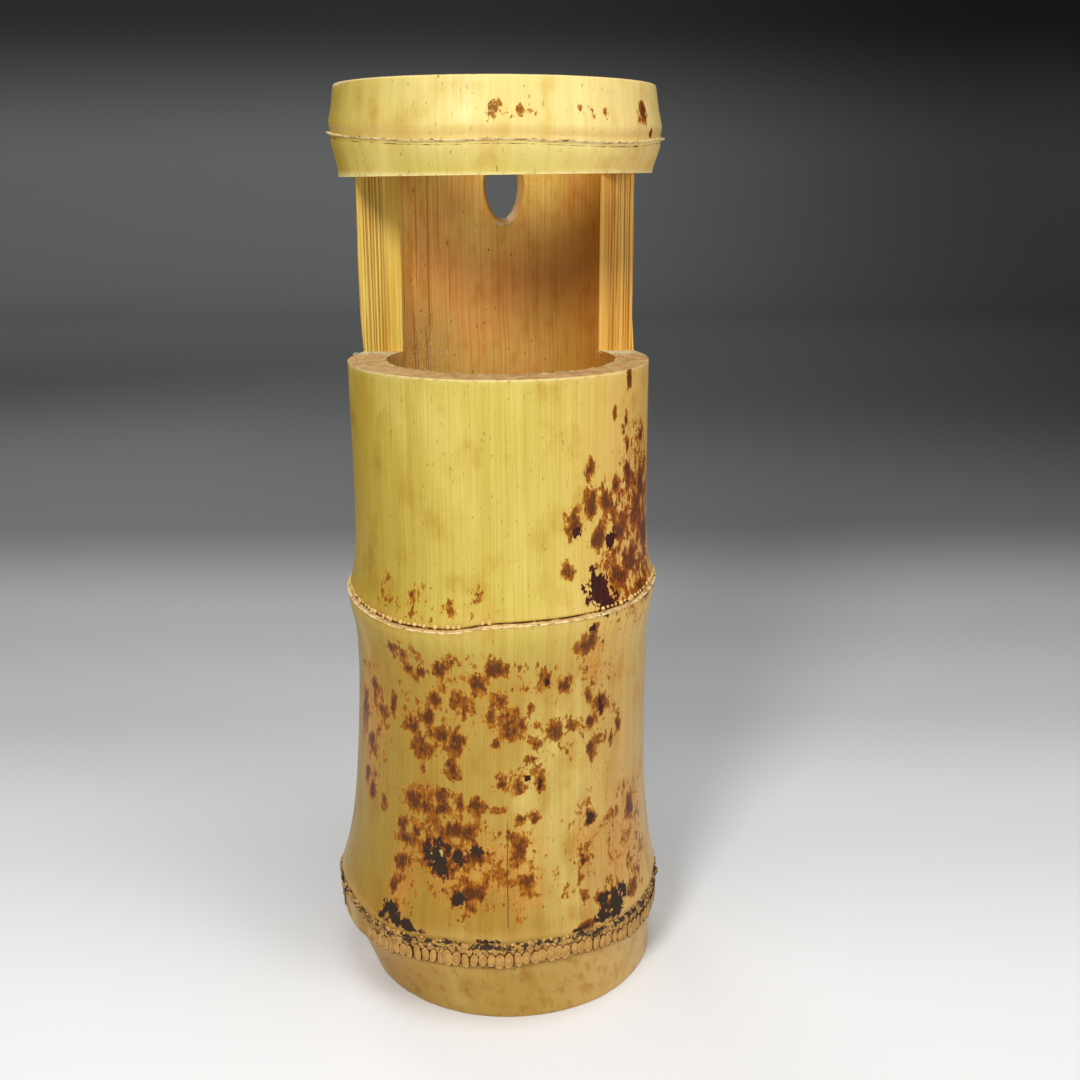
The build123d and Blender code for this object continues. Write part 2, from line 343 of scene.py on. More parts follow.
class Finish:
    """A material and the nodes that make it. Its colour is built up, one tone over another."""

    def __init__(self, name, **sockets):
        self.material = bpy.data.materials.new(name)
        self.material.use_nodes = True
        self.tree = self.material.node_tree
        self.shader = self.tree.nodes["Principled BSDF"]
        self.coordinates = self.tree.nodes.new("ShaderNodeTexCoord").outputs["Object"]
        self.ground = self.coordinates
        self.colour = None
        for socket, value in sockets.items():
            self.shader.inputs[socket.replace("_", " ")].default_value = value

    def node(self, kind, inputs, **settings):
        made = self.tree.nodes.new("ShaderNode" + kind)
        for name, value in settings.items():
            setattr(made, name, value)
        for socket, value in inputs.items():
            if isinstance(value, bpy.types.NodeSocket):
                self.tree.links.new(value, made.inputs[socket])
            else:
                made.inputs[socket].default_value = value
        return made

    def follow(self, name):
        """From here on, patterns follow the painted coordinates of this name."""
        self.ground = self.node("Attribute", {}, attribute_name=name).outputs["Vector"]

    def stretched(self, across, along, seed):
        """Coordinates in which a patch this wide and this tall, in mm, has size 1."""
        scale = (1 / (across * mm), 1 / (across * mm), 1 / (along * mm))
        inputs = {"Vector": self.ground, "Scale": scale, "Location": (seed, seed, seed)}
        return self.node("Mapping", inputs).outputs["Vector"]

    def grain(self, across, along=None, seed=0, detail=3.0, roughness=0.55):
        """Noise in patches this wide and this tall, in mm."""
        inputs = {"Vector": self.stretched(across, along or across, seed), "Scale": 1.0}
        inputs.update({"Detail": detail, "Roughness": roughness})
        return self.node("TexNoise", inputs).outputs["Fac"]

    def cells(self, across, seed):
        """Distance from the middle of the nearest of many small cells."""
        inputs = {"Vector": self.stretched(across, across, seed), "Scale": 1.0}
        return self.node("TexVoronoi", inputs).outputs["Distance"]

    def painted(self, name):
        return self.node("Attribute", {}, attribute_name=name).outputs["Fac"]

    def place(self, axis):
        """One object coordinate, in millimetres."""
        split = self.node("SeparateXYZ", {"Vector": self.coordinates})
        return self.maths("DIVIDE", split.outputs[axis], mm)

    def maths(self, operation, first, second=0.0):
        return self.node("Math", {0: first, 1: second}, operation=operation).outputs[0]

    def times(self, first, *others):
        for other in others:
            first = self.maths("MULTIPLY", first, other)
        return first

    def plus(self, first, *others):
        for other in others:
            first = self.maths("ADD", first, other)
        return first

    def minus(self, first, second):
        return self.maths("SUBTRACT", first, second)

    def steps(self, value, low, high):
        """0 below low, 1 above high, and smooth between them. high may be the lower one."""
        inputs = {"Value": value, "From Min": low, "From Max": high}
        return self.node("MapRange", inputs, interpolation_type="SMOOTHSTEP").outputs["Result"]

    def spread(self, value, low, high, result_low, result_high):
        """A value from low to high, turned into one between the two results."""
        inputs = {"Value": value, "From Min": low, "From Max": high}
        inputs.update({"To Min": result_low, "To Max": result_high})
        return self.node("MapRange", inputs).outputs["Result"]

    def blend(self, share, under, over, **settings):
        """The under colour, covered by the over colour by a share."""
        return self.node("Mix", {0: share, 6: under, 7: over}, data_type="RGBA", **settings).outputs[2]

    def cover(self, over, *shares):
        """Covers the colour so far with another, by these shares multiplied together."""
        self.colour = self.blend(self.times(*shares), self.colour, over)

    def darken(self, dark, *shares):
        """Multiplies the colour so far by a dark tone, by these shares multiplied together."""
        self.colour = self.blend(self.times(*shares), self.colour, dark, blend_type="MULTIPLY")

    def to(self, socket, value):
        """Feeds a value to one of the shader's sockets."""
        self.tree.links.new(value, self.shader.inputs[socket])

    def saw_lines(self, across, spacing, width, seed):
        """Upright lines this far apart and wide, in mm, a little uneven, along a coordinate in mm."""
        drift = self.times(self.grain(2.5, 160, seed=seed, detail=1.0), 1.6)
        turns = self.plus(self.maths("DIVIDE", across, spacing), drift)
        from_line = self.maths("ABSOLUTE", self.minus(self.maths("FRACT", turns), 0.5))
        half = width / spacing / 2
        line = self.steps(from_line, half * 1.6, half * 0.4)
        return self.times(line, self.steps(self.grain(1.4, 70, seed=seed + 2), 0.36, 0.56))

    def finished(self, height, depth):
        """Sets the colour, and raises the surface by up to this many millimetres where height is 1."""
        self.to("Base Color", self.colour)
        bump = self.node("Bump", {"Height": height, "Distance": depth * mm, "Strength": 1.0})
        self.to("Normal", bump.outputs["Normal"])
        return self.material


def skin_finish():
    """The glossy outside: straw yellow with fine upright fibres, specks, stains and a crack."""
    skin = Finish("bamboo_skin", Specular_IOR_Level=0.16)
    x = skin.place("X")
    y = skin.place("Y")
    height = skin.place("Z")
    skin.follow("along_culm")

    # Straw yellow, greener and darker to the left and peach to the right, and paler on the ring. The
    # sides are partly the culm's own tone and partly painted light: painted shade on the left, painted
    # warm light on the right. The paler ring is partly a painted highlight.
    low_share = skin.steps(height, 158, 128)
    straw = skin.blend(low_share, tone(199, 179, 88), tone(173, 142, 64))
    straw = skin.blend(skin.steps(height, 100, 50), straw, tone(160, 124, 48))
    straw = skin.blend(skin.steps(height, 28, 20), straw, tone(170, 136, 62))
    green_and_shaded_side = skin.blend(low_share, tone(174, 146, 44), tone(160, 130, 44))
    green_and_shaded_side = skin.blend(skin.steps(height, 60, 15), green_and_shaded_side, tone(156, 112, 32))
    peach_and_lit_side = skin.blend(low_share, tone(222, 182, 104), tone(202, 164, 96))
    skin.colour = skin.blend(skin.steps(x, -8, -56), straw, green_and_shaded_side)
    skin.cover(peach_and_lit_side, skin.steps(x, 8, 54))
    # Painted highlight: the front and right of the ring are paled, partly over the ring's own paler tone.
    skin.cover(tone(240, 222, 156), skin.steps(height, 298, 314), skin.steps(x, -62, -10), 0.5)
    skin.cover(tone(232, 216, 134), skin.steps(skin.grain(30, 80, seed=3), 0.5, 0.78), 0.5)

    # Fine and wide fibres, which the foot hardly shows, and soft mottling.
    above_foot = skin.steps(height, 22, 38)
    under_ring = skin.steps(height, 300, 290)
    fibres = skin.grain(0.6, 60, seed=5)
    fibre_reach = skin.times(above_foot, skin.plus(skin.times(under_ring, 0.5), 0.5))
    fibre_share = skin.times(skin.steps(fibres, 0.62, 0.32), fibre_reach)
    skin.darken(tone(245, 239, 222), fibre_share)
    wide_fibres = skin.grain(3.4, 110, seed=6, detail=2.0)
    skin.darken(tone(250, 247, 236), skin.steps(wide_fibres, 0.62, 0.36), above_foot)
    broad = skin.grain(10, 15, seed=8, detail=5.0)
    skin.darken(tone(240, 226, 198), skin.steps(broad, 0.48, 0.74))
    foot_mottle = skin.steps(skin.grain(4, 6, seed=9, detail=5.0), 0.5, 0.66)
    skin.darken(tone(238, 220, 190), foot_mottle, skin.steps(height, 28, 22))

    # Dull bands over the nodes, and the pale edges of the saw cuts: partly wear, partly a painted
    # highlight where a rounded edge would catch the light.
    skin.cover(tone(204, 164, 96), skin.painted("band"), 0.45)
    wear_and_highlight_patches = skin.steps(skin.grain(1.6, seed=12), 0.3, 0.5)
    skin.cover(tone(244, 228, 168), skin.painted("edge"), wear_and_highlight_patches, 0.6)

    # Orange flushes, which show as fine upright fibres.
    flush_fibres = skin.steps(skin.grain(0.7, 5, seed=11, detail=4.0, roughness=0.65), 0.46, 0.58)
    flush = skin.times(skin.painted("flush"), skin.grain(6, 9, seed=13, detail=5.0))
    soft_flush = skin.steps(flush, 0.14, 0.5)
    skin.cover(tone(204, 146, 70), soft_flush, 0.42)
    skin.cover(tone(176, 102, 34), flush_fibres, soft_flush, 0.6)

    # Sparse dark specks and short dashes.
    speck = skin.steps(skin.grain(0.8, 1.9, seed=14, detail=1.0), 0.73, 0.77)
    dash = skin.steps(skin.grain(0.7, 3.6, seed=16, detail=2.0), 0.7, 0.74)
    specks = skin.maths("MAXIMUM", speck, skin.times(dash, 0.7))
    skin.cover(tone(120, 84, 30), specks, 0.6)

    # Stains, with ragged edges, golden at the rim and red brown inside.
    fine_rag = skin.minus(skin.grain(1.2, 1.9, seed=20, detail=4.0, roughness=0.7), 0.5)
    coarse_rag = skin.minus(skin.grain(4.0, 5.4, seed=23, detail=2.0), 0.5)
    ragged = skin.plus(fine_rag, skin.times(coarse_rag, 1.1))
    stain = skin.plus(skin.painted("stain"), ragged)
    mottle = skin.grain(1.8, 3.4, seed=26, detail=5.0, roughness=0.65)
    depth = skin.plus(stain, skin.minus(mottle, 0.5))
    stain_colour = skin.blend(skin.steps(depth, 0.44, 0.66), tone(174, 112, 18), tone(136, 74, 4))
    stain_colour = skin.blend(skin.steps(depth, 0.64, 0.88), stain_colour, tone(82, 32, 0))
    on_fibre = skin.steps(fibres, 0.55, 0.4)
    stain_colour = skin.blend(on_fibre, stain_colour, tone(226, 212, 196), blend_type="MULTIPLY")
    rusty = skin.times(skin.steps(x, 15, 45), skin.steps(height, 140, 165))
    stain_colour = skin.blend(rusty, stain_colour, tone(255, 216, 130), blend_type="MULTIPLY")
    skin.cover(tone(190, 140, 52), skin.steps(stain, 0.36, 0.5), 0.3)
    skin.cover(stain_colour, skin.steps(stain, 0.49, 0.52), 0.94)

    # Charred places with a brown rim, and chips in them that show the bare skin.
    near_char = skin.times(skin.steps(skin.painted("char"), 0.0, 0.3), 1.5)
    char = skin.plus(skin.painted("char"), skin.times(ragged, near_char))
    skin.cover(tone(98, 36, 12), skin.steps(char, 0.44, 0.48))
    char_share = skin.steps(char, 0.49, 0.56)
    char_colour = skin.blend(skin.steps(mottle, 0.4, 0.62), tone(66, 18, 8), tone(38, 16, 12))
    char_colour = skin.blend(skin.steps(height, 95, 75), char_colour, tone(48, 34, 22))
    skin.cover(char_colour, char_share)
    chip = skin.plus(skin.painted("chip"), skin.times(fine_rag, 1.6))
    skin.cover(tone(178, 164, 92), skin.steps(chip, 0.48, 0.56))

    # Grime and painted shade in the grooves under the top lip, above the middle lip and under the lowest
    # roots, and a darker brown bed between the roots.
    grime_and_shade = skin.plus(skin.painted("grime_and_shade"), skin.times(ragged, 0.6))
    skin.cover(tone(84, 44, 20), skin.steps(grime_and_shade, 0.4, 0.7))
    bed = skin.plus(skin.painted("root_bed"), skin.times(fine_rag, 0.4))
    skin.cover(tone(112, 70, 30), skin.steps(bed, 0.3, 0.6))

    # The hairline crack low on the front.
    sway = skin.minus(skin.grain(3, 14, seed=31, detail=2.0), 0.5)
    from_crack = skin.maths("ABSOLUTE", skin.minus(skin.minus(x, crack_place), sway))
    crack = skin.times(
        skin.steps(from_crack, crack_half_width * 1.6, crack_half_width),
        skin.steps(height, crack_low, crack_low + crack_low_fade),
        skin.steps(height, crack_high, crack_high - crack_high_fade),
        skin.maths("LESS_THAN", y, 0.0),
    )
    skin.cover(tone(82, 54, 24), crack, 0.85)

    dull_share = skin.plus(broad, char_share, skin.times(grime_and_shade, 0.5))
    dullness = skin.spread(dull_share, 0.3, 1.6, 0.28, 0.62)
    skin.to("Roughness", dullness)
    marks = skin.times(skin.plus(crack, specks), -0.8)
    return skin.finished(skin.plus(skin.times(fibre_share, -0.2), skin.times(broad, 0.5), marks), 0.12)


def bore_finish():
    """The inside wall: orange brown, softly streaked upright, with grooves, crumbs and pits."""
    bore = Finish("bamboo_bore", Roughness=0.5, Specular_IOR_Level=0.18)
    x = bore.place("X")
    height = bore.place("Z")
    bore.follow("along_culm")
    bore.colour = bore.blend(bore.steps(height, 305, 258), tone(226, 196, 100), tone(208, 156, 78))
    bore.cover(tone(198, 158, 78), bore.steps(height, 262, 236))
    # Browner and darker to the right: partly the wall's own colour, partly painted shade.
    bore.cover(tone(190, 132, 46), bore.steps(x, 10, 42))
    bore.cover(tone(212, 142, 78), bore.steps(bore.grain(22, 34, seed=30, detail=4.0), 0.4, 0.66), 0.45)
    bore.darken(tone(240, 222, 192), bore.steps(bore.grain(6, 9, seed=33, detail=5.0), 0.45, 0.75))
    streaks = bore.grain(0.9, 70, seed=31)
    bore.darken(tone(242, 226, 200), bore.steps(streaks, 0.62, 0.34))
    grooves_share = bore.times(bore.saw_lines(x, 4.2, 0.5, 36), bore.steps(x, -12, -24))
    bore.cover(tone(132, 76, 30), grooves_share, 0.55)
    pits = bore.steps(bore.grain(1.6, 2.0, seed=39, detail=1.0), 0.755, 0.785)
    bore.cover(tone(74, 40, 20), pits)
    low_left = bore.times(bore.steps(height, 258, 242), bore.steps(x, -10, -24))
    crumbs = bore.times(bore.steps(bore.grain(0.7, 1.3, seed=34), 0.56, 0.62), low_left)
    bore.cover(tone(232, 204, 148), crumbs, 0.7)
    return bore.finished(bore.minus(bore.plus(streaks, crumbs), bore.plus(grooves_share, pits)), 0.25)


def end_grain_finish():
    """Sawn across the fibres: tan, full of pores, with pale torn fibres in places."""
    grain = Finish("bamboo_end_grain", Roughness=0.72, Specular_IOR_Level=0.25)
    patches = grain.steps(grain.grain(4, seed=41, detail=5.0), 0.38, 0.62)
    grain.colour = grain.blend(patches, tone(220, 184, 118), tone(196, 148, 92))
    pores = grain.cells(0.7, seed=44)
    grain.cover(tone(146, 98, 54), grain.steps(pores, 0.36, 0.16))
    flecks = grain.steps(grain.grain(0.8, seed=46), 0.58, 0.66)
    grain.cover(tone(236, 218, 170), flecks, 0.8)
    torn = grain.plus(grain.painted("torn"), grain.grain(1.0, seed=48, detail=4.0))
    grain.cover(tone(214, 212, 170), grain.steps(torn, 0.8, 1.05), 0.85)
    return grain.finished(grain.plus(pores, grain.times(flecks, 0.5)), 0.3)


def long_grain_finish():
    """Sawn along the fibres: flat, with fine brown upright grooves towards the skin."""
    grain = Finish("bamboo_long_grain", Roughness=0.5, Specular_IOR_Level=0.35)
    x = grain.place("X")
    grain.colour = grain.blend(grain.steps(x, -20, 20), tone(218, 190, 88), tone(232, 186, 92))
    grain.darken(tone(236, 214, 172), grain.steps(grain.grain(3.5, 60, seed=50), 0.4, 0.7))
    toward_skin = grain.steps(grain.maths("ABSOLUTE", x), 39, 43)
    fine = grain.grain(0.35, 120, seed=51, detail=2.0)
    grain.darken(tone(240, 224, 190), grain.steps(fine, 0.6, 0.4))
    line = grain.times(grain.saw_lines(x, 1.15, 0.4, 53), toward_skin)
    grain.cover(tone(158, 98, 32), line, 0.75)
    return grain.finished(grain.minus(1.0, line), 0.3)


def torn_fibre_finish():
    """Pale fibres torn up by the saw."""
    torn = Finish("torn_fibre", Roughness=0.7, Specular_IOR_Level=0.25)
    patches = torn.steps(torn.grain(1.5, seed=55), 0.4, 0.65)
    torn.colour = torn.blend(patches, tone(222, 218, 178), tone(206, 176, 116))
    return torn.finished(torn.grain(0.3, 1.2, seed=57), 0.1)


def scar_finish():
    """The dry lips left by the sheaths: cream, with brown bits."""
    scar = Finish("sheath_scar", Roughness=0.6, Specular_IOR_Level=0.3)
    patches = scar.steps(scar.grain(2.5, 1.2, seed=61, detail=4.0), 0.42, 0.66)
    scar.colour = scar.blend(patches, tone(234, 212, 152), tone(190, 148, 84))
    scar.cover(tone(88, 50, 26), scar.steps(scar.grain(1.6, 0.8, seed=65, detail=4.0), 0.6, 0.66))
    return scar.finished(scar.grain(0.6, seed=68), 0.2)


def crust_finish():
    """The dark crumbling crust over the roots."""
    crust = Finish("root_crust", Roughness=0.75, Specular_IOR_Level=0.3)
    patches = crust.steps(crust.grain(2.8, 1.4, seed=71, detail=5.0), 0.46, 0.58)
    crust.colour = crust.blend(patches, tone(58, 40, 24), tone(188, 142, 66))
    crust.cover(tone(46, 34, 26), crust.steps(crust.grain(7, 3, seed=73), 0.5, 0.6), 0.85)
    return crust.finished(crust.grain(0.7, seed=75), 0.4)


def bud_finish():
    """Root buds: small golden beads, dirtier on the lowest node."""
    bud = Finish("root_bud", Roughness=0.38, Specular_IOR_Level=0.5)
    patches = bud.steps(bud.grain(1.6, seed=81), 0.35, 0.7)
    bud.colour = bud.blend(patches, tone(226, 190, 116), tone(196, 142, 70))
    dirt = bud.steps(bud.grain(4, seed=83), 0.3, 0.7)
    low_colour = bud.blend(dirt, tone(200, 156, 80), tone(124, 82, 36))
    bud.cover(low_colour, bud.steps(bud.place("Z"), 70, 50))
    return bud.finished(bud.grain(0.5, seed=84), 0.1)


def cut_root_finish():
    """Cut-off roots: light tan ovals with a dark rim and a ring inside."""
    root = Finish("cut_root", Roughness=0.6, Specular_IOR_Level=0.3)
    wobble = root.times(root.minus(root.grain(0.9, seed=91), 0.5), 0.25)
    share = root.plus(root.painted("from_middle"), wobble)
    patches = root.steps(root.grain(2.5, seed=94), 0.35, 0.7)
    root.colour = root.blend(patches, tone(192, 148, 78), tone(168, 122, 54))
    ring = root.steps(root.maths("ABSOLUTE", root.minus(share, 0.52)), 0.09, 0.03)
    root.cover(tone(132, 86, 36), ring, 0.5)
    root.cover(tone(84, 50, 20), root.steps(share, 0.86, 0.97))
    return root.finished(root.grain(0.5, seed=97), 0.15)


def partition_finish():
    """The cut partitions across the culm: dry pale brown."""
    wood = Finish("bamboo_partition", Roughness=0.75, Specular_IOR_Level=0.25)
    patches = wood.steps(wood.grain(3, seed=101, detail=5.0), 0.35, 0.7)
    wood.colour = wood.blend(patches, tone(190, 146, 92), tone(150, 100, 58))
    return wood.finished(wood.grain(0.9, seed=104, detail=5.0), 0.4)


def copper_finish():
    """Sheet copper that has dulled and darkened in patches."""
    copper = Finish("sheet_copper", Metallic=1.0)
    patches = copper.grain(12, 16, seed=111, detail=5.0)
    copper.colour = copper.blend(copper.steps(patches, 0.4, 0.65), tone(214, 134, 92), tone(148, 92, 62))
    copper.cover(tone(104, 84, 66), copper.steps(copper.grain(4, 7, seed=114, detail=5.0), 0.62, 0.74))
    dullness = copper.spread(patches, 0.0, 1.0, 0.22, 0.5)
    copper.to("Roughness", dullness)
    return copper.finished(copper.grain(5, 7, seed=118), 0.15)


def solder_finish():
    """Grey tin solder, dull and a little lumpy."""
    solder = Finish("tin_solder", Metallic=1.0, Roughness=0.42)
    patches = solder.steps(solder.grain(2, 4, seed=121), 0.4, 0.65)
    solder.colour = solder.blend(patches, tone(186, 182, 174), tone(142, 136, 126))
    return solder.finished(solder.grain(1.4, 3, seed=124), 0.25)


skin_material = skin_finish()
bore_material = bore_finish()
end_grain_material = end_grain_finish()
long_grain_material = long_grain_finish()
torn_fibre_material = torn_fibre_finish()
scar_material = scar_finish()
crust_material = crust_finish()
bud_material = bud_finish()
cut_root_material = cut_root_finish()
partition_material = partition_finish()
copper_material = copper_finish()
solder_material = solder_finish()


# The culm: a ring whose section runs up the skin, over the rim, down the hollow and back.
front_angle = 104  # the columns are closer together from here round the front
front_pitch = 0.99
back_pitch = 1.75

# Stretches of the skin: the heights from and to, and how far apart the rows are.
skin_rows = (
    (2, 20, 1.6), (20, 45, 0.8), (45, 140, 1.5), (140, 148, 0.8), (148, 158, 0.4), (158, 166, 0.8),
    (166, 236, 1.6), (236, 302, 2.2), (302, 308, 1), (308, 318, 0.5), (318, 328.5, 1.2),
)
# Stretches of the hollow, from the mouth down: radius, heights from and to, and row spacing.
hollow_rows = (
    (mouth_bore, 329, 307.6, 3), (upper_bore, 307.4, 147.6, 4),
    (lower_bore, 147.4, 32.1, 6), (foot_bore, 31.9, 0.4, 5),
)
# Radius and height of the rows round the foot's edge, over the rim and under the foot.
foot_edge = ((55.0, 0), (55.4, 0.2), (55.7, 0.7))
rim_edge = (
    (55.3, 329.3), (55.1, 329.8), (54.6, 330), (52, 330), (48, 330), (45, 330), (42.6, 330),
    (42.2, 329.8), (42, 329.4),
)
foot_underside = ((38.5, 0), (42, 0), (48, 0), (52, 0))

# Lumps in the culm's outside and ridges in its hollow, which are drawn out along the fibres.
broad_lumps = {"seed": 7, "size": 38, "amount": 0.5}
fine_lumps = {"seed": 17, "size": 9, "amount": 0.12}
fine_lump_stretch = (1, 1, 0.15)
bore_ridges = {"seed": 27, "size": 5, "amount": 0.35}
bore_ridge_stretch = (1, 1, 0.05)
culm_crease = 38


def spaced(start, end, pitch):
    """Places from start to end about this far apart, start included and end left out."""
    count = max(1, round(abs(end - start) / pitch))
    return np.linspace(start, end, count, endpoint=False)


def across_wall(points, inner, outer):
    """Rows across the wall's thickness, which belong to the skin by how far out they are."""
    return [(radius, height, (radius - inner) / (outer - inner)) for radius, height in points]


def culm_rows():
    """Radius and height of every row of the section, and how much it belongs to the skin."""
    heights = np.concatenate([spaced(*stretch) for stretch in skin_rows])
    rows = [(radius, height, 1) for radius, height in foot_edge]
    rows += [(float(skin_radius(height)), float(height), 1) for height in heights]
    rows += across_wall(rim_edge, mouth_bore, rim_edge[0][0])
    for radius, high, low, pitch in hollow_rows:
        rows += [(radius, float(height), 0) for height in (*spaced(high, low, pitch), low)]
    rows += across_wall(foot_underside, foot_bore, foot_edge[0][0])
    return np.array(rows)


front_columns = spaced(-front_angle, front_angle, front_pitch)
back_columns = spaced(front_angle, full_turn - front_angle, back_pitch)
rows = culm_rows()
angle, radius = np.meshgrid(np.concatenate([front_columns, back_columns]), rows[:, 0], indexing="ij")
height = np.broadcast_to(rows[:, 1], angle.shape)
skin_share = np.broadcast_to(rows[:, 2], angle.shape)
straight = at_angle(angle, radius, height)
lumps = grown(straight, **broad_lumps) + grown(straight * fine_lump_stretch, **fine_lumps)
ridges = grown(straight * bore_ridge_stretch, **bore_ridges)
radius = radius + lumps * skin_share + ridges * (1 - skin_share)
wall = at_angle(angle, radius, height + node_shift(angle, height) * (skin_share == 1))
wall[..., 0] += read(lean_points, height) * skin_share + bore_offset * (1 - skin_share)
culm = closed_ring("culm", wall)


# The window is sawn out of the front, and the nail hole is cut through the back.
window_width = 130
window_depth = 90
window_middle = (0, window_back - window_depth / 2, (sill + ring_underside) / 2)
nail_hole_height = 297.5
hole_sides = 40
hole_rings = (  # distance behind the middle, shift to the right, half width, drop and rise
    (38.5, 2.7, 8.6, 16.2, 10),
    (42.2, 2.6, 7.3, 14.8, 8.8),
    (52.8, 2.0, 6.2, 13.1, 7.8),
    (58, 1.7, 7.2, 14.2, 8.6),
)
bpy.ops.mesh.primitive_cube_add(size=mm, location=Vector(window_middle) * mm)
window_cutter = bpy.context.object
window_cutter.scale = (window_width, window_depth, ring_underside - sill)
bpy.ops.object.transform_apply(location=True, rotation=False, scale=True)
corners = places(window_cutter)
at_ring = corners[:, 2] > window_middle[2]
corners[at_ring, 2] += corners[at_ring, 0] * math.tan(math.radians(ring_cut_tilt))
place(window_cutter, corners)
cut_away(culm, window_cutter)

bpy.ops.mesh.primitive_circle_add(vertices=hole_sides, radius=mm, fill_type="NGON")
hole_cutter = bpy.context.object
bpy.ops.object.mode_set(mode="EDIT")
bpy.ops.mesh.select_all(action="SELECT")
for ring in hole_rings[1:]:
    bpy.ops.mesh.extrude_region_move(TRANSFORM_OT_translate={"value": (0, 0, mm)})
bpy.ops.object.mode_set(mode="OBJECT")
round_hole = np.arange(hole_sides) * 2 * math.pi / hole_sides
hole_points = []
for depth, shift, half_width, drop, rise in hole_rings:
    across = shift + half_width * np.cos(round_hole)
    up = np.sin(round_hole)
    up = nail_hole_height + np.where(up > 0, rise * up, drop * up)
    hole_points.append(np.stack([across, np.full(hole_sides, depth), up], axis=-1))
x, y, z = places(hole_cutter).T
ring_number = np.round(z).astype(int)
side_number = np.round(np.arctan2(y, x) / (2 * math.pi) * hole_sides).astype(int) % hole_sides
place(hole_cutter, np.array(hole_points)[ring_number, side_number])
choose(hole_cutter)
close_up()
cut_away(culm, hole_cutter)


def face_values(piece, name):
    """The three parts of a value that every face has."""
    values = np.zeros(len(piece.data.polygons) * 3)
    piece.data.polygons.foreach_get(name, values)
    return values.reshape(-1, 3).T


# How squarely a face looks a way, from 0 to 1, for it to count as looking that way.
inwards_share = 0.3
sideways_share = 0.5
upwards_share = 0.8
forwards_share = 0.9
near_cut = 0.1  # a face this close to a saw cut's plane lies in it
hole_margin = 1  # the nail hole's sides begin this far into the wall
bore_slot, end_grain_slot, long_grain_slot = 1, 2, 3


def culm_slots():
    """Which finish each face of the culm has: skin, hollow, end grain or long grain."""
    x, y, z = face_values(culm, "center") / mm
    across, back, up = face_values(culm, "normal")
    from_axis = np.hypot(x - bore_offset, y)
    outward = (across * (x - bore_offset) + back * y) / from_axis
    slot = np.zeros(len(x), int)
    slot[outward < -inwards_share] = bore_slot
    in_wall = (y > 0) & (from_axis > upper_bore + hole_margin) & (z > sill)
    slot[in_wall & (abs(outward) < sideways_share)] = long_grain_slot
    slot[(abs(y - window_back) < near_cut) & (back < -forwards_share)] = long_grain_slot
    slot[abs(up) > upwards_share] = end_grain_slot
    return slot


culm.data.materials.clear()
for material in (skin_material, bore_material, end_grain_material):
    culm.data.materials.append(material)
dress(culm, long_grain_material, crease=culm_crease)
culm.data.polygons.foreach_set("material_index", culm_slots())


